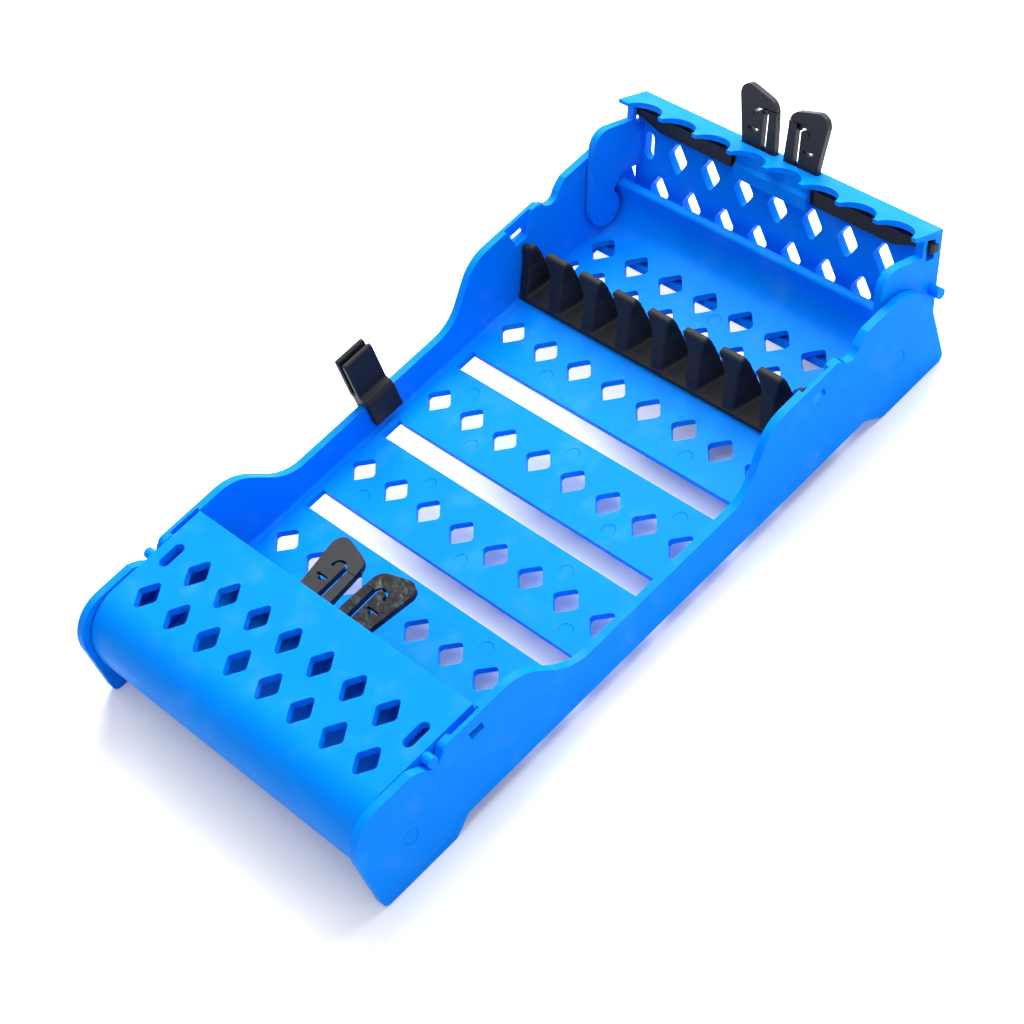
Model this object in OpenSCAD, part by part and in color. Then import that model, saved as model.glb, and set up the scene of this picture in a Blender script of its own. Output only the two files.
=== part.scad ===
// Dental instrument cassette: a perforated tray, two hinged end covers with
// spring latches, two racks with a place for each instrument, and a side clip.
// It stands on the XY plane, with its length along Y and one cover open.

/* [Tray] */
// Length of the tray over its rounded ends
tray_l = 206.8; // [202:0.1:212]
// Width of the tray over its side walls
tray_w = 114.8; // [110:0.1:120]
// Thickness of a side wall
wall_t = 2.5; // [2.3:0.1:2.8]
// Thickness of the floor
floor_t = 2; // [1.6:0.1:2.1]
// Height of the floor's top above the table
floor_h = 6.8; // [6.5:0.1:8]
// Height of the walls' low middle above the floor
wall_low = 9; // [7:0.1:12]
// Height of the walls' raised ends above the floor
wall_high = 22.6; // [22:0.1:23]
// Half the length of the walls' low middle
low_half = 25.5; // [18:0.1:28]
// Radius of both bends where the wall sweeps up
sweep_r = 14; // [8:0.5:16]
// Radius of the wall's top corner at each end
end_r = 11.4; // [8:0.1:12]
// Length of each foot
foot_l = 25; // [18:0.5:28]
// Radius of the rounded edges under each foot
foot_r = 3; // [1:0.1:4]
// Height of the lip across each end, above the floor
lip_up = 11; // [9:0.1:11.2]
// Thickness of the lip
lip_t = 2.9; // [2.2:0.1:3]

/* [Holes] */
// Width of a floor hole across the tray
floor_hole_w = 8.5; // [6:0.1:9.5]
// Length of a floor hole along the tray
floor_hole_l = 8.3; // [6:0.1:9]
// Distance between floor holes in a row
floor_pitch = 13.46; // [12.8:0.02:13.6]
// Distance between the floor's open slots
slot_pitch = 29.05; // [27:0.05:30]
// Width of an open slot in the floor
slot_w = 6.5; // [4:0.1:8]
// Length of an open slot in the floor
slot_l = 104; // [90:1:106]
// Width of a cover hole across the cover
cover_hole_w = 7.1; // [5:0.1:8]
// Length of a cover hole along the cover
cover_hole_l = 9; // [7:0.1:9.4]
// Distance between cover holes in a row
cover_pitch = 12.7; // [11.5:0.05:12.9]
// Radius of the holes' corners
hole_r = 1.2; // [0.6:0.1:1.6]

/* [Covers] */
// Distance of each hinge from the tray's middle
hinge_y = 88.47; // [87.5:0.01:89]
// Height of the hinge above the floor
hinge_up = 6.73; // [6.5:0.01:7]
// Radius of a hinge pin
pin_r = 2.1; // [1.5:0.1:2.6]
// Gap round a hinge pin
pin_gap = 0.06; // [0.03:0.01:0.1]
// Gap between a cover's side and the tray's wall
side_gap = 0.56; // [0.4:0.02:0.8]
// Height of the cover's top above the floor
cover_up = 22.85; // [22.7:0.05:23.2]
// Thickness of the cover's plate
plate_t = 2.55; // [2.2:0.05:2.6]
// Outer radius of the cover's rounded end
cover_r = 13; // [12.8:0.05:13.2]
// Thickness of the cover's rounded end
curl_t = 2.1; // [1.8:0.05:2.1]
// How far the rounded end wraps below the hinge, in degrees
curl_end = 8.5; // [4:0.5:9]
// Distance of the cover's free edge from the tray's middle
edge_y = 58.04; // [57.6:0.02:58.4]
// Angle to which a cover opens
open_angle = 114; // [90:1:114]
// Thickness of a cover's side plate
ear_t = 2.54; // [2:0.02:3]
// Radius of the side plate round the hinge
ear_r = 5.3; // [4.5:0.1:6]
// Radius of the nub on each side of a cover
nub_r = 1.55; // [1.2:0.05:1.6]
// How far a nub stands out from the cover's side
nub_l = 3.1; // [2.6:0.1:4]

/* [Instruments] */
// Number of instruments held
places = 8; // [6:1:8]
// Distance between the scallops in a cover's edge
scallop_pitch = 13.1; // [12.6:0.05:13.3]
// Sideways shift of the row of scallops
scallop_shift = -1.25; // [-1.5:0.05:1.5]
// Radius of a scallop
scallop_r = 5.8; // [5:0.1:6]
// Distance between the notches in a rack
rack_pitch = 13.4; // [13:0.05:13.5]
// Width of a rack's foot along the tray
rack_base = 9.2; // [8.4:0.1:9.6]
// Height of a rack above the floor
rack_h = 16.9; // [15:0.1:16.9]
// Width of a notch at its mouth
notch_mouth = 5; // [4.5:0.1:6]
// Width of a notch at its bottom
notch_w = 10.2; // [9:0.1:10.6]
// Height of a notch's bottom above the floor
notch_up = 3.5; // [2.5:0.1:5]

/* [Latches] */
// Distance that a latch slides when it is pinched
latch_travel = 1.5; // [1:0.1:1.5]
// Length by which a latch's bar stands out of the cover's side
bar_out = 1.46; // [1.2:0.02:1.5]
// Thickness of a latch's finger tab
tab_t = 1.75; // [1.4:0.05:1.8]
// Sideways shift of both tabs from the cover's middle
tab_shift = 0.75; // [-1:0.05:1]
// Gap all round a sliding piece
slide_gap = 0.3; // [0.2:0.05:0.35]

/* [Clip] */
// Width of the clip along the wall
clip_w = 10.1; // [8:0.1:12]
// Place of the clip's middle along the wall
clip_y = 2.15; // [-15:0.05:15]
// Height of the clip's fins above the floor
clip_h = 25.2; // [20:0.1:28]
// Thickness of a fin
fin_t = 1.8; // [1.4:0.1:2.2]
// Width of the slit between the fins
fin_gap = 1.4; // [1:0.1:2]

/* [Hidden] */
$fn = 48;

// The middle of the whole outline, open cover and clip included, is the origin
frame_x = 1.48;
frame_y = 9.3;

// Heights above the table
floor_z = floor_h;
low_z = floor_z + wall_low;
high_z = floor_z + wall_high;
rim_z = high_z + 0.6;
under_z = floor_z - floor_t;
wall_foot_z = under_z - 0.7;
hinge_z = floor_z + hinge_up;
cover_z = floor_z + cover_up;
plate_z = cover_z - plate_t;

// Tray
end_y = tray_l / 2;
out_x = tray_w / 2;
in_x = out_x - wall_t;
trough_r = hinge_up;
foot_lean = 0.5;
foot_start = end_y - foot_l;
foot_rise_l = 5.5;

// Cover
cover_x = in_x - side_gap;
curl_r = cover_r - curl_t;
top_arc_z = cover_z - cover_r;
tip_z = floor_z + 12.3;
tip_t = 1.1;
flange_t = 2.1;
flange_lean = 0.5;
scallop_z = tip_z - 0.8;
nub_y = 74.8;
nub_z = cover_z - 1.75;
nub_path = norm([hinge_y - nub_y, nub_z - hinge_z]);
notch_r = nub_r + 1.7;
sweep_clear = 0.37;

// Latch, placed from the middle of the cover outwards
bar_front = edge_y + 2.76;
bar_w = 4.4;
bar_tip_w = 2.2;
bar_x = cover_x + bar_out;
bar_top = plate_z - slide_gap;
bar_z = bar_top - 2.6;
arm_t = 1.75;
arm_z = plate_z - 0.25 - arm_t;
skin_t = 0.8;
tab_z = cover_z - skin_t - slide_gap - tab_t;
riser_y = edge_y + 4.3;
bar_low = bar_z - slide_gap;
leg_in = 1.7;
leg_out = 5;
head_in = 2.2;
arm_in = leg_out + slide_gap + latch_travel;
arm_out = 13.75;
bridge_x = 13.3;
lap_y = edge_y - 9.8;
lap_l = 2.1;
bend_y = edge_y - 1.4;
head_y = edge_y - 18.2;
head_tilt = 2;

// Rows of holes near the ends, from the middle of the tray or the free edge
floor_row_1 = 69.4;
floor_row_2 = 80.2;
cover_row_1 = 14.2;
cover_row_2 = 26.5;

// Rack
rack_y = edge_y + 0.06;
rack_x = in_x - 0.4;
rack_z = floor_z + rack_h;

// Strip of the cover's side plate under the bar's hole, and the rack's end below it
strip_z = bar_low - 1.3;
rack_end_z = strip_z - 0.35;
rack_end_x = cover_x - ear_t - 0.3;

function unit(v) = v / norm(v);

// The sliver between a corner at p and the arc of radius r that rounds it.
// It overlaps what it's added to or cut from, and its arc crosses both sides.
module nick(p, a, b, r) {
    u = unit(a - p);
    v = unit(b - p);
    w = unit(u + v);
    half = acos(u * v) / 2;
    reach = r / tan(half);
    difference() {
        polygon([p - w * r / 4, p + u * reach, p + v * reach]);
        translate(p + w * r / sin(half)) circle(r + 0.006);
    }
}

// Extrude a (y, z) outline along X, or an (x, z) outline along Y
module along_x(x0, x1) {
    translate([x0, 0, 0]) rotate([90, 0, 90]) linear_extrude(x1 - x0) children();
}
module along_y(y0, y1) {
    translate([0, y1, 0]) rotate([90, 0, 0]) linear_extrude(y1 - y0) children();
}

module both_x() {
    children();
    mirror([1, 0, 0]) children();
}
module both_y() {
    children();
    mirror([0, 1, 0]) children();
}

// Rounded rhombus, w across and l along
module diamond(w, l, r) {
    p = w / 2 - r;
    q = l / 2 - r;
    n = unit([q, p]) * r;
    polygon([
        [p + n.x, n.y], [n.x, q + n.y], [-n.x, q + n.y], [-p - n.x, n.y],
        [-p - n.x, -n.y], [-n.x, -q - n.y], [n.x, -q - n.y], [p + n.x, -n.y]
    ]);
    for (s = [-1, 1]) {
        translate([s * p, 0]) circle(r);
        translate([0, s * q]) circle(r);
    }
}

module long_hole(w, l) {
    square([w, l - w], center = true);
    for (s = [-1, 1]) translate([0, s * (l - w) / 2]) circle(w / 2);
}

// Rows of holes: count holes at equal steps about the middle
module row(count, pitch, y) {
    for (i = [0:count - 1]) translate([(i - (count - 1) / 2) * pitch, y]) children();
}

module nub_notch() {
    translate([nub_y, high_z]) circle(notch_r);
    translate([nub_y - notch_r, high_z]) square([2 * notch_r, 2]);
    intersection() {
        translate([hinge_y, hinge_z]) difference() {
            circle(nub_path + nub_r + sweep_clear);
            circle(nub_path - nub_r - sweep_clear);
        }
        translate([nub_y - notch_r, nub_z]) square([12, 5]);
    }
    corner = [nub_y - notch_r, high_z];
    nick(corner, corner - [9, 0], corner - [0, 9], 2);
}

// Half of a side wall's outline, from the middle to one end
module wall_half() {
    rise = high_z - low_z;
    low_end = low_half + sweep_r * tan(22.5);
    high_start = low_end + rise;
    foot_in = [foot_start, 0];
    foot_up = [foot_start - foot_rise_l, wall_foot_z];
    toe = [end_y - foot_lean, 0];
    bulge = [end_y, rim_z - end_r];
    difference() {
        union() {
            polygon([
                [0, wall_foot_z], foot_up, foot_in, toe, bulge,
                [end_y, rim_z], [nub_y, rim_z], [nub_y, high_z],
                [high_start, high_z], [low_end, low_z], [0, low_z]
            ]);
            nick([low_end, low_z], [0, low_z], [high_start, high_z], sweep_r);
            nick(foot_up, [0, wall_foot_z], foot_in, foot_r);
        }
        nick([high_start, high_z], [low_end, low_z], [nub_y, high_z], sweep_r);
        nick(foot_in, foot_up, toe, foot_r);
        nick(toe, foot_in, bulge, 2);
        nick([end_y, rim_z], [nub_y, rim_z], bulge, end_r);
        nub_notch();
    }
}

// Concave end of the floor, round the hinge, with its upright lip
module trough() {
    outer = trough_r + lip_t;
    lip = [hinge_y + outer, floor_z + lip_up];
    lip_in = [hinge_y + trough_r, floor_z + lip_up];
    difference() {
        intersection() {
            translate([hinge_y, hinge_z]) circle(outer);
            translate([hinge_y - outer, hinge_z - outer]) square([outer * 2, outer]);
        }
        translate([hinge_y, hinge_z]) circle(trough_r);
        translate([hinge_y - outer, floor_z]) square([outer, hinge_up + 1]);
    }
    difference() {
        translate([hinge_y + trough_r, hinge_z]) square([lip_t, lip.y - hinge_z]);
        nick(lip, lip - [9, 0], lip - [0, 9], 1.2);
        nick(lip_in, lip_in + [9, 0], lip_in - [0, 9], 0.9);
    }
}

// Sloped mouth in the wall that lets a latch's bar down to its window
module bar_mouth() {
    depth_x = bar_x + 0.35;
    mid_y = bar_front + 1.1;
    front = mid_y - 2.9;
    back = mid_y + 1.9;
    along_x(in_x - 1, depth_x) polygon([
        [front, bar_low], [back, bar_low],
        [mid_y + 6.6, high_z + 1], [mid_y - 4.4, high_z + 1]
    ]);
    along_y(front, back) polygon([
        [in_x - 1, bar_low - 1.6], [depth_x, bar_low],
        [depth_x, bar_low + 0.5], [in_x - 1, bar_low + 0.5]
    ]);
    translate([in_x - 1, front + 0.2, bar_low]) cube([wall_t + 2, 4.4, 2.2]);
}

module tray_floor_holes() {
    both_y() {
        row(8, floor_pitch, slot_pitch / 2) diamond(floor_hole_w, floor_hole_l, hole_r);
        row(8, floor_pitch, slot_pitch * 1.5) diamond(floor_hole_w, floor_hole_l, hole_r);
        row(7, floor_pitch, floor_row_1) diamond(floor_hole_w, floor_hole_l, hole_r);
        row(8, floor_pitch, floor_row_2) diamond(floor_hole_w, floor_hole_l, hole_r);
        both_x() translate([50.4, floor_row_1]) long_hole(3.2, floor_hole_l - 0.8);
        translate([0, slot_pitch]) square([slot_l, slot_w], center = true);
        translate([0, rack_y]) square([2 * rack_x - 12, 4.4], center = true);
    }
    square([slot_l, slot_w], center = true);
}

module tray() {
    color("deepskyblue") shifted() difference() {
        union() {
            both_x() along_x(in_x, out_x) {
                wall_half();
                mirror([1, 0]) wall_half();
            }
            translate([-in_x - 0.5, -hinge_y, under_z])
                cube([2 * in_x + 1, 2 * hinge_y, floor_t]);
            both_y() along_x(-in_x - 0.5, in_x + 0.5) trough();
            both_x() along_y(-rack_y + rack_base / 2, rack_y - rack_base / 2)
                nick([in_x, floor_z], [0, floor_z], [in_x, high_z], 1.2);
        }
        translate([0, 0, under_z - 1]) linear_extrude(floor_t + 2) tray_floor_holes();
        both_x() both_y() bar_mouth();
        both_y() translate([-out_x - 1, hinge_y, hinge_z]) rotate([0, 90, 0])
            cylinder(h = tray_w + 2, r = pin_r + pin_gap);
    }
}

module rack_profile() {
    front = rack_y - rack_base / 2;
    back = rack_y + rack_base / 2;
    top_front = [rack_y + 2.25, rack_z];
    top_back = [back - 0.7, rack_z];
    difference() {
        polygon([
            [front, floor_z], [front + 1.5, floor_z + 4.2], [rack_y + 0.75, floor_z + 12],
            top_front, top_back, [back, rack_z - 5], [back, floor_z]
        ]);
        nick(top_front, [rack_y + 0.75, floor_z + 12], top_back, 0.5);
        nick(top_back, top_front, [back, rack_z - 5], 0.5);
    }
}

module rack_notch() {
    r = 3;
    w = notch_w / 2;
    m = notch_mouth / 2;
    lower = floor_z + notch_up + r;
    flare = (w - m) / (rack_h - notch_up - 4);
    polygon([
        [-w, lower], [-w, lower + 1], [-m, rack_z], [-m + flare, rack_z + 1],
        [m - flare, rack_z + 1], [m, rack_z], [w, lower + 1], [w, lower]
    ]);
    translate([-w, lower - 0.01]) square([2 * w, 0.02]);
    translate([-w + r, lower - r]) square([2 * (w - r), r + 0.5]);
    for (s = [-1, 1]) translate([s * (w - r), lower]) circle(r);
}

module rack() {
    difference() {
        union() {
            along_x(-rack_x, rack_x) rack_profile();
            translate([-rack_x + 6.2, rack_y - 2.15, under_z + 0.2])
                cube([2 * rack_x - 12.4, 4.3, floor_t]);
        }
        along_y(rack_y - rack_base, rack_y + rack_base)
            row(places, rack_pitch, 0) rack_notch();
        both_x() translate([rack_end_x, rack_y - rack_base, rack_end_z]) cube([9, 20, 9]);
    }
}

module near_rack() {
    color("dimgray") shifted() mirror([0, 1, 0]) rack();
}
module far_rack() {
    color("dimgray") shifted() rack();
}

// Cover outline in (y, z), closed, at the near end
module cover_skin() {
    h = [-hinge_y, hinge_z];
    inner_arc_z = plate_z - curl_r;
    translate([-hinge_y, plate_z]) square([hinge_y - edge_y - 1, plate_t]);
    intersection() {
        difference() {
            union() {
                translate([-hinge_y, top_arc_z]) circle(cover_r);
                translate([-hinge_y - cover_r, hinge_z]) square([cover_r, top_arc_z - hinge_z]);
                translate(h) circle(cover_r);
            }
            translate([-hinge_y, inner_arc_z]) circle(curl_r);
            translate([-hinge_y - curl_r, hinge_z])
                square([curl_r + 1, inner_arc_z - hinge_z]);
            translate(h) circle(curl_r);
        }
        polygon([
            h, h - 20 * [cos(curl_end), sin(curl_end)],
            [-hinge_y - 30, cover_z + 5], [-hinge_y, cover_z + 5]
        ]);
    }
    polygon([
        [-edge_y, cover_z], [-edge_y + flange_lean, tip_z],
        [-edge_y + flange_lean - tip_t, tip_z], [-edge_y - flange_t, plate_z],
        [-edge_y - flange_t, cover_z]
    ]);
}

// Side plate that carries the hinge pin, in (y, z)
module ear() {
    front = -edge_y - 6;
    low = hinge_z - ear_r;
    hole_back = -edge_y - 7.5;
    back = hinge_z + 11.2 * sin(31);
    corner = [front, low];
    difference() {
        polygon([
            [hole_back, plate_z + 0.5], [hole_back, bar_low], [-edge_y - 1, bar_low],
            [-edge_y - 1, strip_z], [front, strip_z], corner, [-hinge_y, low], [-hinge_y, hinge_z],
            [-hinge_y + 11.2 * cos(31), back], [-hinge_y + 10.4, plate_z + 0.5]
        ]);
        nick(corner, corner + [0, 9], corner - [9, 0], 5.5);
    }
    translate([-hinge_y, hinge_z]) circle(ear_r);
}

// Bridge over the latches' inner ends, in (y, z)
module bridge() {
    front = -edge_y - 1.1;
    back = -bar_front - bar_w - 0.4;
    step = -bar_front - 1.7;
    top = arm_z - slide_gap;
    thin = top - 0.8;
    polygon([
        [front, top], [front, thin], [step, thin], [step - 1, thin - 1],
        [back - 1.3, thin - 1], [back - 1.3, plate_z + 0.3], [back, plate_z + 0.3],
        [back, top]
    ]);
}

module cover_holes() {
    row(7, cover_pitch, -edge_y - cover_row_1) diamond(cover_hole_w, cover_hole_l, hole_r);
    both_x() translate([49.2, -edge_y - cover_row_1]) long_hole(3.4, cover_hole_l - 0.8);
    row(8, cover_pitch, -edge_y - cover_row_2) diamond(cover_hole_w, cover_hole_l, hole_r);
}

module cover() {
    color("deepskyblue") difference() {
        union() {
            along_x(-cover_x, cover_x) cover_skin();
            both_x() along_x(cover_x - ear_t, cover_x) ear();
            along_x(-bridge_x, bridge_x) bridge();
            both_x() translate([cover_x - ear_t, -nub_y, nub_z]) rotate([0, 90, 0])
                cylinder(h = ear_t + nub_l, r = nub_r);
            both_x() translate([cover_x - ear_t, -hinge_y, hinge_z]) rotate([0, 90, 0])
                cylinder(h = ear_t + out_x - cover_x, r = pin_r);
        }
        translate([0, 0, plate_z - 1]) linear_extrude(plate_t + 2) cover_holes();
        along_y(-edge_y - flange_t - 0.2, -edge_y + 1) translate([scallop_shift, 0])
            row(places, scallop_pitch, scallop_z) circle(scallop_r);
        // Slots for the tabs, which reach up into the plate
        translate([tab_shift, -riser_y - slide_gap, tab_z - slide_gap]) both_x()
            translate([leg_in - slide_gap, 0, 0])
            cube([arm_out - leg_in + 2 * slide_gap, 9, tab_t + 2 * slide_gap]);
    }
}

// Finger tab seen from above, without its leg
module tab_outline() {
    base = [arm_out, -bend_y];
    outer = [arm_out + 2.75, -head_y];
    inner = [head_in + 0.5, -head_y - 3.6];
    neck = [head_in, -lap_y];
    difference() {
        polygon([
            [arm_in, -riser_y], [arm_out, -riser_y], base, outer, inner, neck, [arm_in, -lap_y]
        ]);
        nick(outer, base, inner, 3.3);
        nick(inner, outer, neck, 4);
    }
}

// Curled end of the slit beside the leg, and a small T slit with its hole
module tab_slits() {
    translate([arm_in + 1.3, -lap_y - 0.66]) {
        difference() {
            circle(2.35);
            circle(1.65);
            translate([-3, -3]) square([6, 3]);
        }
        translate([2, 0]) circle(0.6);
    }
    translate([8, -bend_y + 3.24]) square([4, 0.8]);
    translate([9.9, -bend_y + 2.94]) circle(0.7);
}

// Side of the tab in (y, z), bent up outside the cover, between two places along it
// and between two levels of its thickness
module tab_side(y0, y1, low = 0, high = tab_t) {
    rise = (y1 + bend_y) * tan(head_tilt);
    polygon([
        [y0, tab_z + low], [-bend_y, tab_z + low], [y1, tab_z + rise + low],
        [y1, tab_z + rise + high], [-bend_y, tab_z + high], [y0, tab_z + high]
    ]);
}

// Latch of a closed cover at the near end, on the side s of the middle
module latch(s) {
    shift = s * tab_shift;
    arm = arm_in + shift;
    bar_root = bridge_x + latch_travel + 0.5;
    color("dimgray") mirror([s < 0 ? 1 : 0, 0, 0]) difference() {
        union() {
            intersection() {
                translate([shift, 0, tab_z - 1]) linear_extrude(tab_t + 4) difference() {
                    tab_outline();
                    tab_slits();
                }
                along_x(0, 20) tab_side(-riser_y - 1, -head_y + 1);
            }
            translate([arm, -riser_y, arm_z])
                cube([arm_out - arm_in, riser_y - bar_front, tab_z + tab_t - arm_z]);
            translate([arm, -bar_front - bar_w, arm_z])
                cube([bar_root + 0.5 - arm, bar_w, bar_top - arm_z]);
            translate([0, 0, bar_z]) linear_extrude(bar_top - bar_z) polygon([
                [bar_root, -bar_front], [bar_x, -bar_front], [bar_x, -bar_front - bar_tip_w],
                [bar_x - 6, -bar_front - bar_tip_w], [bar_x - 13, -bar_front - bar_w],
                [bar_root, -bar_front - bar_w]
            ]);
        }
        // The underside of the head clears the tip of the leg
        along_x(0, arm) tab_side(-lap_y - 1, -lap_y + lap_l + 0.3, -1, tab_t / 2 + 0.15);
        // The bar's tip is sloped below, to ride down the wall
        along_y(-bar_front - bar_w, -bar_front + 1) polygon([
            [bar_x - 1, bar_z - 1], [bar_x + 1, bar_z - 1], [bar_x + 1, bar_z + 1.4],
            [bar_x, bar_z + 1]
        ]);
    }
}

// Fixed spring leg beside the latch, lapped under the tab's head
module leg(s) {
    root = -bar_front - bar_w;
    root_l = bar_front + bar_w - edge_y - flange_t - 0.3;
    color("dimgray") mirror([s < 0 ? 1 : 0, 0, 0]) translate([s * tab_shift, 0, 0]) {
        translate([leg_in, root, arm_z]) cube([leg_out - leg_in, root_l, plate_z - arm_z]);
        translate([leg_in, -riser_y, arm_z])
            cube([leg_out - leg_in, riser_y + root + root_l, tab_z + tab_t - arm_z]);
        intersection() {
            translate([0, 0, tab_z - 1]) linear_extrude(tab_t + 4) polygon([
                [leg_in, -riser_y], [leg_out, -riser_y], [leg_out, -lap_y + lap_l],
                [head_in, -lap_y + lap_l], [head_in, -lap_y], [leg_in, -bend_y]
            ]);
            union() {
                along_x(0, 9) tab_side(-riser_y - 1, -lap_y - 0.2);
                along_x(0, 9) tab_side(-riser_y - 1, -lap_y + lap_l + 1, 0, tab_t / 2 - 0.15);
            }
        }
    }
}

// Places of the covers' pieces
module shifted() {
    translate([frame_x, -frame_y, 0]) children();
}
module near_end() {
    shifted() children();
}
module far_end() {
    shifted() translate([0, hinge_y, hinge_z]) rotate([-open_angle, 0, 0])
        translate([0, -hinge_y, -hinge_z]) rotate([0, 0, 180]) children();
}

module near_cover() { near_end() cover(); }
module far_cover() { far_end() cover(); }
module near_right_latch() { near_end() latch(1); }
module near_left_latch() { near_end() latch(-1); }
module far_left_latch() { far_end() latch(1); }
module far_right_latch() { far_end() latch(-1); }
module near_right_leg() { near_end() leg(1); }
module near_left_leg() { near_end() leg(-1); }
module far_left_leg() { far_end() leg(1); }
module far_right_leg() { far_end() leg(-1); }

// Clip that straddles the low part of the left wall, in (x, z)
module clip_profile() {
    fit = 0.3;
    skin = 1.8;
    top = floor_z + clip_h;
    inside = -in_x + fit + skin;
    outside = -out_x - fit - skin;
    saddle = low_z + fit;
    slit_x = -out_x - 0.5;
    slit_low = saddle + 3.4;
    shoulder = saddle + 2.6;
    fin_in = slit_x + fin_gap / 2 + fin_t;
    fin_out = slit_x - fin_gap / 2 - fin_t;
    skirt_z = floor_z + 2.5;
    difference() {
        union() {
            polygon([
                [inside, skirt_z], [inside, saddle + 1], [inside - 0.8, shoulder],
                [fin_in, shoulder + 0.8], [fin_in, top - fin_t / 2],
                [fin_out, top - fin_t / 2], [fin_out, shoulder],
                [outside, saddle + 1], [outside, skirt_z]
            ]);
            for (s = [-1, 1]) translate([slit_x + s * (fin_gap + fin_t) / 2, top - fin_t / 2])
                circle(fin_t / 2);
        }
        translate([slit_x, slit_low + fin_gap / 2]) circle(fin_gap / 2);
        translate([slit_x - fin_gap / 2, slit_low + fin_gap / 2]) square([fin_gap, 30]);
        translate([-out_x - fit, 0]) square([wall_t + 2 * fit, saddle]);
    }
}

module clip() {
    color("dimgray") shifted() along_y(clip_y - clip_w / 2, clip_y + clip_w / 2)
        clip_profile();
}

tray();
near_rack();
far_rack();
near_cover();
far_cover();
near_left_latch();
near_right_latch();
far_left_latch();
far_right_latch();
near_left_leg();
near_right_leg();
far_left_leg();
far_right_leg();
clip();
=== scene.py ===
# %% [markdown]
# A dental instrument cassette: a perforated blue tray, two hinged covers held by
# black pinch latches, two silicone racks and a silicone clip on one wall. Its
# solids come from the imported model, already in place and in metres, so this
# lesson is about dressing them: moulded plastic, soft silicone, rounded edges
# and the marks that a mould leaves.

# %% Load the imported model
import math

import bmesh
import bpy
from mathutils import Matrix, Vector


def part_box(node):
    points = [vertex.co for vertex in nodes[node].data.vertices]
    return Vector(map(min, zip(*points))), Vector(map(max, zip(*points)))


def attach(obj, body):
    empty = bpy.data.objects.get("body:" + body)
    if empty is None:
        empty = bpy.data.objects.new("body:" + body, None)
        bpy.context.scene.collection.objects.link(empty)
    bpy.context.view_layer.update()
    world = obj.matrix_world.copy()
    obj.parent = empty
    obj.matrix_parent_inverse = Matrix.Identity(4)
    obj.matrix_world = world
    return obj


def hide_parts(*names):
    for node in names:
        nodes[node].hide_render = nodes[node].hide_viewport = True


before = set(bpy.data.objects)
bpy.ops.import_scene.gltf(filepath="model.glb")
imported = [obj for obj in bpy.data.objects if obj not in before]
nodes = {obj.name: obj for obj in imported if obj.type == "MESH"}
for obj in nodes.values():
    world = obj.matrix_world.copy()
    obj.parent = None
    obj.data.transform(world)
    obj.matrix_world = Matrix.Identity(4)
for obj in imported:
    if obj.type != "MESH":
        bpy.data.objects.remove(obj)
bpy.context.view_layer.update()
print("nodes:", sorted(nodes))

# %% [markdown]
# The photograph looks down on the open cassette from one side, with the camera
# rolled, so that the long tray runs from corner to corner of the square
# picture. The lens, place and roll below were worked out from measured edges
# of the tray, so they belong together: change one and the picture slips.

# %% Camera
AZIMUTH, ELEVATION, ROLL = 64.29, 46.60, -24.16
CAMERA_PLACE = Vector((0.43859, -0.22161, 0.51974))
LENS_MM = 95.13
NEAREST_SEEN = 0.01

az, el, roll = (math.radians(a) for a in (AZIMUTH, ELEVATION, ROLL))
back = Vector((math.sin(az) * math.cos(el), -math.cos(az) * math.cos(el), math.sin(el)))
right = Vector((math.cos(az), math.sin(az), 0))
up = back.cross(right)
right, up = (right * math.cos(roll) + up * math.sin(roll),
             up * math.cos(roll) - right * math.sin(roll))

camera_data = bpy.data.cameras.new("camera")
camera_data.lens = LENS_MM
camera_data.clip_start = NEAREST_SEEN
camera = bpy.data.objects.new("camera", camera_data)
camera.matrix_world = Matrix((
    (right.x, up.x, back.x, CAMERA_PLACE.x),
    (right.y, up.y, back.y, CAMERA_PLACE.y),
    (right.z, up.z, back.z, CAMERA_PLACE.z),
    (0, 0, 0, 1)))
bpy.context.scene.collection.objects.link(camera)
bpy.context.scene.camera = camera
bpy.context.scene.view_settings.view_transform = "Standard"
print("camera", [round(v, 3) for v in CAMERA_PLACE], "lens", LENS_MM)

# %% [markdown]
# A product picture like this one is lit by big soft boxes, and area lamps give
# their soft edges. The two strongest hang behind the far end, so the shadows
# fall towards the camera. Weaker ones fill the right wall, the rounded near end
# and the low left side.

# %% Soft boxes
# Each lamp: place in metres, side of its square in metres, power in watts
LAMPS = {
    "main_box": ((-0.55, 0.75, 0.9), 0.8, 22),
    "back_box": ((0.1, 0.95, 0.8), 0.8, 10),
    "top_box": ((0, 0, 1.2), 1.0, 6),
    "side_box": ((0.95, 0.1, 0.6), 0.7, 3.6),
    "front_box": ((0.1, -1.0, 0.6), 0.7, 3.2),
    "low_box": ((-1.1, 0.1, 0.28), 0.5, 3),
}
LAMP_AIM = (0, 0, 0)


def soft_box(name, place, size, power):
    lamp = bpy.data.lights.new(name, "AREA")
    lamp.shape = "SQUARE"
    lamp.size = size
    lamp.energy = power
    box = bpy.data.objects.new(name, lamp)
    box.location = place
    box.rotation_euler = (Vector(place) - Vector(LAMP_AIM)).to_track_quat("Z", "Y").to_euler()
    bpy.context.scene.collection.objects.link(box)
    print(name, "at", place, "with", power, "W")


for name, (place, size, power) in LAMPS.items():
    soft_box(name, place, size, power)

# %% [markdown]
# Shaders are easier to read when a small function makes each kind of node. The
# first one does sums and takes sockets or plain numbers. The second is 1 for the
# rays by which the camera sees a surface, also in a gloss or through glass. The
# world uses it to look white and yet light very little, so that the boxes make
# the shadows.

# %% World
WORLD_FILL = 0.05


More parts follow.
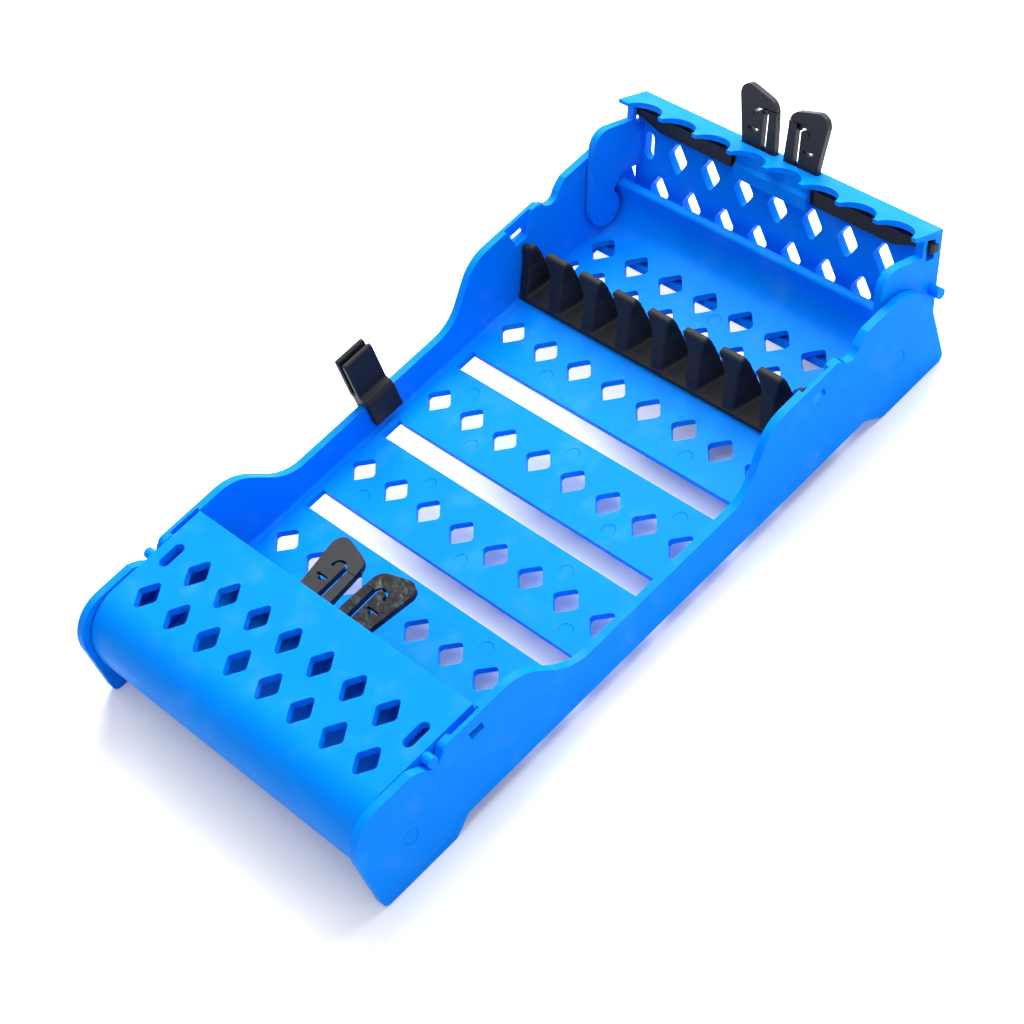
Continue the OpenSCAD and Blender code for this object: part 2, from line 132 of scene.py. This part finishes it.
def math_node(tree, operation, first, second, third=None):
    node = tree.nodes.new("ShaderNodeMath")
    node.operation = operation
    for socket, value in zip(node.inputs, (first, second, third)):
        if isinstance(value, bpy.types.NodeSocket):
            tree.links.new(value, socket)
        elif value is not None:
            socket.default_value = value
    return node.outputs[0]


def seen_rays(tree):
    paths = tree.nodes.new("ShaderNodeLightPath")
    seen = math_node(tree, "MAXIMUM", paths.outputs["Is Camera Ray"],
                     paths.outputs["Is Glossy Ray"])
    return math_node(tree, "MAXIMUM", seen, paths.outputs["Is Transmission Ray"])


world = bpy.data.worlds.new("studio")
world.use_nodes = True
sky = world.node_tree.nodes["Background"]
sky.inputs["Color"].default_value = (1, 1, 1, 1)
strength = math_node(world.node_tree, "MAXIMUM", seen_rays(world.node_tree), WORLD_FILL)
world.node_tree.links.new(strength, sky.inputs["Strength"])
bpy.context.scene.world = world
print("the world's light is", WORLD_FILL, "of what the camera sees of it")

# %% [markdown]
# The ground is a plain pale sheet, a hair below the feet. Its matt skin takes
# the cassette's shadow and hardly shines.

# %% Paper sheet
SHEET_HALF, SHEET_Z = 4, -0.0002
PAPER_COLOUR = (0.9, 0.91, 0.93, 1)
PAPER_ROUGH, PAPER_SPECULAR = 0.9, 0.1


def shader_of(material):
    return next(n for n in material.node_tree.nodes if n.type == "BSDF_PRINCIPLED")


floor_mesh = bpy.data.meshes.new("floor")
form = bmesh.new()
bmesh.ops.create_grid(form, x_segments=2, y_segments=2, size=SHEET_HALF)
form.to_mesh(floor_mesh)
form.free()
floor = bpy.data.objects.new("floor", floor_mesh)
bpy.context.scene.collection.objects.link(floor)
floor.location.z = SHEET_Z

paper = bpy.data.materials.new("white_paper")
paper.use_nodes = True
paper_shader = shader_of(paper)
paper_shader.inputs["Base Color"].default_value = PAPER_COLOUR
paper_shader.inputs["Roughness"].default_value = PAPER_ROUGH
paper_shader.inputs["Specular IOR Level"].default_value = PAPER_SPECULAR
floor_mesh.materials.append(paper)
print("a sheet of", 2 * SHEET_HALF, "m square")

# %% [markdown]
# The sheet is to stay white through the slots on the left half of the tray and
# shaded on the right half. So a glow lifts all of the sheet a little, and paints
# light much more strongly onto the part under the left half. It lights nothing
# else, because only the rays that the camera sees get it. Far from the lamps the
# sheet would turn grey in a low view, so it glows there too.

# %% Glow of the paper
# The even glow of the whole sheet, and the painted light on the part under the left half
GLOW_ALL, PAINTED_LIGHT_LEFT = 0.1, 0.75
GLOW_SLANT = 0.42
LEFT_FROM, LEFT_TO = 0.016, -0.034
ALONG_FROM, ALONG_TO = -0.1, -0.065
FAR_FROM, FAR_TO = 0.45, 1.3


def ramp(tree, value, start, end):
    """A smooth step from 0 at start to 1 at end."""
    node = tree.nodes.new("ShaderNodeMapRange")
    node.interpolation_type = "SMOOTHSTEP"
    tree.links.new(value, node.inputs["Value"])
    node.inputs["From Min"].default_value = start
    node.inputs["From Max"].default_value = end
    return node.outputs["Result"]


tree = paper.node_tree
sheet_place = tree.nodes.new("ShaderNodeTexCoord").outputs["Object"]
axes = tree.nodes.new("ShaderNodeSeparateXYZ")
tree.links.new(sheet_place, axes.inputs[0])
# Painted light: the sheet under the left half of the tray glows much brighter, and this fades out
# at the near end
slanted = math_node(tree, "MULTIPLY_ADD", axes.outputs["Y"], -GLOW_SLANT, axes.outputs["X"])
left = ramp(tree, slanted, LEFT_FROM, LEFT_TO)
along = ramp(tree, axes.outputs["Y"], ALONG_FROM, ALONG_TO)
glow = math_node(tree, "MULTIPLY", left, along)
glow = math_node(tree, "MULTIPLY_ADD", glow, PAINTED_LIGHT_LEFT, GLOW_ALL)
glow = math_node(tree, "MULTIPLY", glow, seen_rays(tree))

away = tree.nodes.new("ShaderNodeVectorMath")
away.operation = "LENGTH"
tree.links.new(sheet_place, away.inputs[0])
far_off = ramp(tree, away.outputs["Value"], FAR_FROM, FAR_TO)
camera_ray = tree.nodes.new("ShaderNodeLightPath").outputs["Is Camera Ray"]
glow = math_node(tree, "MAXIMUM", glow, math_node(tree, "MULTIPLY", far_off, camera_ray))
paper_shader.inputs["Emission Color"].default_value = (1, 1, 1, 1)
tree.links.new(glow, paper_shader.inputs["Emission Strength"])
print("the sheet's glow has", len(tree.nodes), "nodes")

# %% [markdown]
# Two node groups below hold what the materials share. This cell has the three
# small functions that build them: a group with its sockets, a link and a noise
# whose scale comes from a socket.

# %% Group helpers
FLOAT, COLOUR, VECTOR = "NodeSocketFloat", "NodeSocketColor", "NodeSocketVector"


def new_group(name, inputs, outputs):
    group = bpy.data.node_groups.new(name, "ShaderNodeTree")
    for label, kind, value in inputs:
        socket = group.interface.new_socket(label, in_out="INPUT", socket_type=kind)
        socket.default_value = value
    for label, kind in outputs:
        group.interface.new_socket(label, in_out="OUTPUT", socket_type=kind)
    enter = group.nodes.new("NodeGroupInput")
    leave = group.nodes.new("NodeGroupOutput")
    print("group", name, "takes", [label for label, kind, value in inputs])
    return group, enter, leave


def link(tree, source, target):
    tree.links.new(source, target)


def noise(tree, coordinates, scale_socket, detail):
    node = tree.nodes.new("ShaderNodeTexNoise")
    node.inputs["Detail"].default_value = detail
    link(tree, coordinates, node.inputs["Vector"])
    link(tree, scale_socket, node.inputs["Scale"])
    return node.outputs["Fac"]


def mixed(tree, factor, first, second):
    node = tree.nodes.new("ShaderNodeMix")
    node.data_type = "RGBA"
    link(tree, factor, node.inputs["Factor"])
    link(tree, first, node.inputs["A"])
    link(tree, second, node.inputs["B"])
    return node.outputs["Result"]


# %% [markdown]
# Moulded plastic is never quite even. Up close its skin has a fine satin grain,
# and the colour drifts a little where the melt flowed, with faint pale patches
# of bloom; on the wavy black latch the same patches are painted sheen. All
# pieces use these effects, so they live in one node group that puts out a
# colour, a roughness and a normal.

# %% Moulded skin group
FLOW_DETAIL, GRAIN_DETAIL, BLOOM_AND_SHEEN_DETAIL = 3, 2, 5
BLOOM_AND_SHEEN_FINER = 1.7
BLOOM_AND_SHEEN_FROM, BLOOM_AND_SHEEN_TO = 0.5, 0.75

skin, enter, leave = new_group(
    "moulded_skin",
    [("Colour", COLOUR, (0.5, 0.5, 0.5, 1)), ("Deep Colour", COLOUR, (0.4, 0.4, 0.4, 1)),
     ("Flow Scale", FLOAT, 30), ("Grain Scale", FLOAT, 2500),
     ("Roughness", FLOAT, 0.4), ("Roughness Spread", FLOAT, 0.05),
     ("Grain Height", FLOAT, 0.00001),
     ("Bloom And Sheen Colour", COLOUR, (1, 1, 1, 1)), ("Bloom And Sheen Amount", FLOAT, 0)],
    [("Colour", COLOUR), ("Roughness", FLOAT), ("Normal", VECTOR)])

on_piece = skin.nodes.new("ShaderNodeTexCoord").outputs["Object"]
flow = noise(skin, on_piece, enter.outputs["Flow Scale"], FLOW_DETAIL)
grain = noise(skin, on_piece, enter.outputs["Grain Scale"], GRAIN_DETAIL)
bloom_and_sheen_scale = math_node(skin, "MULTIPLY", enter.outputs["Flow Scale"], BLOOM_AND_SHEEN_FINER)
bloom_and_sheen = noise(skin, on_piece, bloom_and_sheen_scale, BLOOM_AND_SHEEN_DETAIL)

# Pale patches: bloom in the blue resin, painted sheen on the wavy black latch
bloom_and_sheen_patches = ramp(skin, bloom_and_sheen, BLOOM_AND_SHEEN_FROM, BLOOM_AND_SHEEN_TO)
bloom_and_sheen_patches = math_node(skin, "MULTIPLY", bloom_and_sheen_patches, enter.outputs["Bloom And Sheen Amount"])
drift = mixed(skin, flow, enter.outputs["Deep Colour"], enter.outputs["Colour"])
link(skin, mixed(skin, bloom_and_sheen_patches, drift, enter.outputs["Bloom And Sheen Colour"]), leave.inputs["Colour"])

spread = math_node(skin, "MULTIPLY_ADD", flow, enter.outputs["Roughness Spread"],
                   enter.outputs["Roughness"])
link(skin, spread, leave.inputs["Roughness"])

bump = skin.nodes.new("ShaderNodeBump")
bump.inputs["Distance"].default_value = 1
height = math_node(skin, "MULTIPLY", grain, enter.outputs["Grain Height"])
link(skin, height, bump.inputs["Height"])
link(skin, bump.outputs["Normal"], leave.inputs["Normal"])

# %% [markdown]
# Ejector pins push a moulding out of its mould and leave shallow discs on the
# floor, and each hinge pin's end lies a little deep in its hole. A second group
# gives the depth of one such disc round a centre. The cassette is symmetric, so
# the group folds both halves together and one disc stands for four.

# %% Round mark group
RIM_OUTER, RIM_INNER = 1.06, 0.9

tray_low, tray_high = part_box("tray")
tray_middle = ((tray_low[0] + tray_high[0]) / 2, (tray_low[1] + tray_high[1]) / 2, 0)
mark, enter, leave = new_group(
    "round_mark",
    [("Centre", VECTOR, (0, 0, 0)), ("Radius", FLOAT, 0.002), ("Depth", FLOAT, 0.0001)],
    [("Height", FLOAT)])


def vector_node(tree, operation, first, second=None):
    node = tree.nodes.new("ShaderNodeVectorMath")
    node.operation = operation
    link(tree, first, node.inputs[0])
    if isinstance(second, bpy.types.NodeSocket):
        link(tree, second, node.inputs[1])
    elif second is not None:
        node.inputs[1].default_value = second
    return node


spot = mark.nodes.new("ShaderNodeTexCoord").outputs["Object"]
spot = vector_node(mark, "SUBTRACT", spot, tray_middle).outputs["Vector"]
spot = vector_node(mark, "ABSOLUTE", spot).outputs["Vector"]
reach = vector_node(mark, "DISTANCE", spot, enter.outputs["Centre"]).outputs["Value"]
reach = math_node(mark, "DIVIDE", reach, enter.outputs["Radius"])
inside = ramp(mark, reach, RIM_OUTER, RIM_INNER)
link(mark, math_node(mark, "MULTIPLY", inside, enter.outputs["Depth"]), leave.inputs["Height"])
print("the tray's middle is at", [round(v * 1000, 2) for v in tray_middle])

# %% [markdown]
# One function makes each finish from the skin group. A finish may be sunk by
# round marks, and it may scatter a little light under its surface.

# %% Finish maker
SCATTER_RADIUS, SCATTER_SCALE = (0.2, 0.5, 1.0), 0.002


def sunk_by(tree, normal, marks):
    """The normal, bent by shallow discs that are given as centre, radius and depth."""
    height = 0.0
    for centre, radius, depth in marks:
        disc = tree.nodes.new("ShaderNodeGroup")
        disc.node_tree = mark
        disc.inputs["Centre"].default_value = centre
        disc.inputs["Radius"].default_value = radius
        disc.inputs["Depth"].default_value = depth
        height = math_node(tree, "SUBTRACT", height, disc.outputs["Height"])
    sunk = tree.nodes.new("ShaderNodeBump")
    sunk.inputs["Distance"].default_value = 1
    link(tree, height, sunk.inputs["Height"])
    link(tree, normal, sunk.inputs["Normal"])
    return sunk.outputs["Normal"]


def finish_of(name, looks, specular, scatter=0.0, marks=()):
    """A material round the skin group, whose inputs the looks name."""
    material = bpy.data.materials.new(name)
    material.use_nodes = True
    tree = material.node_tree
    shader = shader_of(material)
    group = tree.nodes.new("ShaderNodeGroup")
    group.node_tree = skin
    for label, value in looks.items():
        group.inputs[label].default_value = value
    link(tree, group.outputs["Colour"], shader.inputs["Base Color"])
    link(tree, group.outputs["Roughness"], shader.inputs["Roughness"])
    normal = group.outputs["Normal"]
    if marks:
        normal = sunk_by(tree, normal, marks)
    link(tree, normal, shader.inputs["Normal"])
    shader.inputs["Specular IOR Level"].default_value = specular
    if scatter:
        shader.inputs["Subsurface Weight"].default_value = scatter
        shader.inputs["Subsurface Radius"].default_value = SCATTER_RADIUS
        shader.inputs["Subsurface Scale"].default_value = SCATTER_SCALE
    print("finish", name, "with", len(marks), "marks")
    return material


# %% [markdown]
# The blue resin is a slightly translucent nylon, so a little light spreads
# under its surface and gives the shaded walls their deep colour. The black
# latches are satin, but one near latch has a wavy, uneven gloss, as the
# photograph shows: its bumps and low roughness are real, and its pale grey
# patches are painted sheen. The silicone is blacker and grainier.

# %% Finishes
PIN_MARKS = [((0.0574, 0.0885, 0.0135), 0.00225, 0.0003)]
EJECTORS = [(0.0269, 0.0079), (0.0269, 0.037), (0.0, 0.0212), (0.0403, 0.0212), (0.0, 0.0768)]
FLOOR_UP, EJECTOR_RADIUS, EJECTOR_DEPTH = 0.0068, 0.0021, 0.0002
FLOOR_MARKS = [((x, y, FLOOR_UP), EJECTOR_RADIUS, EJECTOR_DEPTH) for x, y in EJECTORS]

BLUE = {"Colour": (0.0, 0.255, 0.98, 1), "Deep Colour": (0.0, 0.23, 0.95, 1),
        "Flow Scale": 60, "Grain Scale": 2500, "Grain Height": 0.000005,
        "Roughness": 0.38, "Roughness Spread": 0.1,
        "Bloom And Sheen Colour": (0.12, 0.42, 1, 1), "Bloom And Sheen Amount": 0.13}
BLACK = {"Colour": (0.010, 0.011, 0.015, 1), "Deep Colour": (0.006, 0.007, 0.010, 1),
         "Flow Scale": 80, "Grain Scale": 3000, "Grain Height": 0.000006,
         "Roughness": 0.36, "Roughness Spread": 0.12}
# The wavy latch: a real wavy bump and low roughness, with pale grey patches of painted sheen
WAVY_WITH_PAINTED_SHEEN = {"Colour": (0.006, 0.007, 0.010, 1), "Deep Colour": (0.003, 0.004, 0.006, 1),
        "Flow Scale": 200, "Grain Scale": 230, "Grain Height": 0.0005,
        "Roughness": 0.2, "Roughness Spread": 0.1,
        "Bloom And Sheen Colour": (0.07, 0.07, 0.075, 1), "Bloom And Sheen Amount": 0.5}
SILICONE = {"Colour": (0.007, 0.008, 0.012, 1), "Deep Colour": (0.004, 0.005, 0.008, 1),
            "Flow Scale": 70, "Grain Scale": 1500, "Grain Height": 0.00006,
            "Roughness": 0.5, "Roughness Spread": 0.15}

cover_blue = finish_of("cover_blue_resin", BLUE, 0.04, scatter=0.25, marks=PIN_MARKS)
tray_blue = finish_of("tray_blue_resin", BLUE, 0.04, scatter=0.25,
                      marks=PIN_MARKS + FLOOR_MARKS)
black = finish_of("black_resin", BLACK, 0.3)
wavy_black_with_painted_sheen = finish_of("wavy_black_resin_with_painted_sheen", WAVY_WITH_PAINTED_SHEEN, 0.3)
rubber = finish_of("black_silicone", SILICONE, 0.22)

# %% [markdown]
# Now each node gets its finish. The racks' nodes are dressed as well, although
# softer racks take their place further down.

# %% Dress the nodes
FINISH_BY_NAME = {"tray": tray_blue, "near_cover": cover_blue, "far_cover": cover_blue,
                  "near_right_latch": wavy_black_with_painted_sheen, "near_right_leg": wavy_black_with_painted_sheen}


def dress(piece, finish):
    piece.data.materials.clear()
    piece.data.materials.append(finish)


for name, node in nodes.items():
    usual = black if "latch" in name or "leg" in name else rubber
    dress(node, FINISH_BY_NAME.get(name, usual))
    print(name, "is", node.data.materials[0].name)

# %% [markdown]
# Every moulded edge is slightly round and catches a thin line of light. A bevel
# modifier rounds the sharp edges and leaves the flat faces and the arcs alone.
# The silicone clip is softer still, so its skin is melted by a voxel remesh and
# then smoothed.

# %% Rounded edges
EDGE_WIDTH, EDGE_SEGMENTS, EDGE_ANGLE = 0.00025, 2, 40
CLIP_VOXEL, CLIP_ROUNDS = 0.00025, 8
SMOOTHING = 0.5


def round_edges(piece):
    bevel = piece.modifiers.new("soft_edges", "BEVEL")
    bevel.width = EDGE_WIDTH
    bevel.segments = EDGE_SEGMENTS
    bevel.limit_method = "ANGLE"
    bevel.angle_limit = math.radians(EDGE_ANGLE)
    bevel.harden_normals = False


def soften(piece, voxel, rounds):
    """Melt a piece into one skin with soft edges, by modifiers alone."""
    remesh = piece.modifiers.new("melt", "REMESH")
    remesh.mode = "VOXEL"
    remesh.voxel_size = voxel
    remesh.use_smooth_shade = True
    smooth = piece.modifiers.new("soften", "SMOOTH")
    smooth.factor = SMOOTHING
    smooth.iterations = rounds


for name, node in nodes.items():
    if name == "clip":
        soften(node, CLIP_VOXEL, CLIP_ROUNDS)
    else:
        round_edges(node)
print("edges of", EDGE_WIDTH * 1000, "mm on", len(nodes) - 1, "nodes")

# %% [markdown]
# A rack is soft silicone. Each post is narrow and deep in front, broad at the
# back and rounded at the top, and a pocket slopes forward between two posts, so
# an instrument's handle is squeezed only at the back. That skin twists from
# post to pocket, so each post is lofted through level sections, given here in
# millimetres. A bar of constant section is a loft of two.

# %% Posts and bars
MM = 0.001
RACK_TALL = 16.9
# Height, front edge, back edge, front width and back width at each level
POST_LEVELS = [
    (1.0, -4.2, 4.6, 3.6, 13.4), (4.2, -3.1, 4.6, 3.9, 13.2), (8.0, -1.2, 4.6, 4.2, 11.6),
    (11.0, 0.3, 4.6, 4.6, 10.6), (12.5, 0.9, 4.55, 5.6, 10.0), (14.0, 1.4, 4.5, 6.8, 9.4),
    (15.4, 1.75, 4.4, 7.8, 8.8), (16.4, 2.0, 4.3, 8.2, 8.2), (16.9, 2.5, 3.8, 7.4, 7.2)]


def loft(form, sections):
    rings = [[form.verts.new(Vector(point) * MM) for point in section] for section in sections]
    for low, high in zip(rings, rings[1:]):
        for i, j in ((0, 1), (1, 2), (2, 3), (3, 0)):
            form.faces.new((low[i], low[j], high[j], high[i]))
    form.faces.new(rings[0][::-1])
    form.faces.new(rings[-1])


def post(form, middle, left, right, drop=0):
    """One post round x = middle, kept between left and right and lowered by drop."""
    def kept(x):
        return min(max(x, left), right)

    sections = []
    for high, front, back, wide_front, wide_back in POST_LEVELS:
        corners = ((-1, front, wide_front), (1, front, wide_front),
                   (1, back, wide_back), (-1, back, wide_back))
        level = high - drop * high / RACK_TALL
        sections.append([(kept(middle + side * wide / 2), y, level) for side, y, wide in corners])
    loft(form, sections)


def bar(form, half, outline):
    """A prism along x from -half to half over a (y, z) outline of four corners."""
    loft(form, [[(x, y, z) for y, z in outline] for x in (-half, half)])


print("a post has", len(POST_LEVELS), "levels and is", RACK_TALL, "mm tall")

# %% [markdown]
# The lofts overlap, and their edges are sharp. The same voxel remesh and
# smoothing as the clip's melt them into one skin. Here the result is kept as a
# mesh, because the rough form isn't needed again.

# %% Melt a rough form
def melted(name, form, voxel, rounds):
    """Melt overlapping solids into one soft skin."""
    rough_mesh = bpy.data.meshes.new(name)
    bmesh.ops.recalc_face_normals(form, faces=form.faces)
    form.to_mesh(rough_mesh)
    form.free()
    rough_piece = bpy.data.objects.new(name + "_rough", rough_mesh)
    bpy.context.scene.collection.objects.link(rough_piece)
    soften(rough_piece, voxel, rounds)
    graph = bpy.context.evaluated_depsgraph_get()
    mesh = bpy.data.meshes.new_from_object(rough_piece.evaluated_get(graph))
    bpy.data.objects.remove(rough_piece)
    mesh.polygons.foreach_set("use_smooth", [True] * len(mesh.polygons))
    piece = bpy.data.objects.new(name, mesh)
    bpy.context.scene.collection.objects.link(piece)
    print(name, "has", len(mesh.polygons), "faces")
    return piece


# %% [markdown]
# A rack takes its place and its size from the plainer solid that it replaces.
# Seven whole posts stand between the eight places, and half a post at each end.
# The outermost strip of an end is lower, because the closed cover's side passes
# over it. A tongue under the base fills the slot in the tray's floor.

# %% Racks
PLACES, PITCH = 8, 13.4
SIDE_GAP = 0.1
END_FROM, END_DROP = 51.4, 1.5
END_OVERLAP, STRIP_OVERLAP = 3, 2
BASE_OUTLINE = [(-4.5, 0.05), (-4.5, 1.6), (4.5, 4.0), (4.5, 0.05)]
TONGUE_HALF, TONGUE_TOP, TONGUE_SHORTER = 2.05, 0.6, 6.1
RACK_VOXEL, RACK_ROUNDS = 0.0004, 3


def end_posts(form, half):
    """Half a post at each end, with a lower strip beyond END_FROM."""
    for side in (-1, 1):
        middle = side * PLACES / 2 * PITCH
        inner, outer = sorted((side * (END_FROM - END_OVERLAP), side * END_FROM))
        post(form, middle, inner, outer)
        inner, outer = sorted((side * (END_FROM - STRIP_OVERLAP), side * half))
        post(form, middle, inner, outer, END_DROP)


def rack(name, node, facing):
    low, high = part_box(node)
    half = (high[0] - low[0]) / 2 / MM - SIDE_GAP
    middle = ((low[0] + high[0]) / 2, (low[1] + high[1]) / 2)
    floor_z = high[2] - RACK_TALL * MM
    under = (low[2] - floor_z) / MM + SIDE_GAP
    form = bmesh.new()
    for k in range(1, PLACES):
        post(form, (k - PLACES / 2) * PITCH, -half, half)
    end_posts(form, half)
    bar(form, half, BASE_OUTLINE)
    bar(form, half - TONGUE_SHORTER,
        [(-TONGUE_HALF, under), (-TONGUE_HALF, TONGUE_TOP),
         (TONGUE_HALF, TONGUE_TOP), (TONGUE_HALF, under)])
    for vert in form.verts:
        vert.co = (middle[0] + vert.co.x, middle[1] + facing * vert.co.y, floor_z + vert.co.z)
    piece = melted(name, form, RACK_VOXEL, RACK_ROUNDS)
    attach(piece, "tray")
    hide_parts(node)
    dress(piece, rubber)


rack("far_soft_rack", "far_rack", 1)
rack("near_soft_rack", "near_rack", -1)
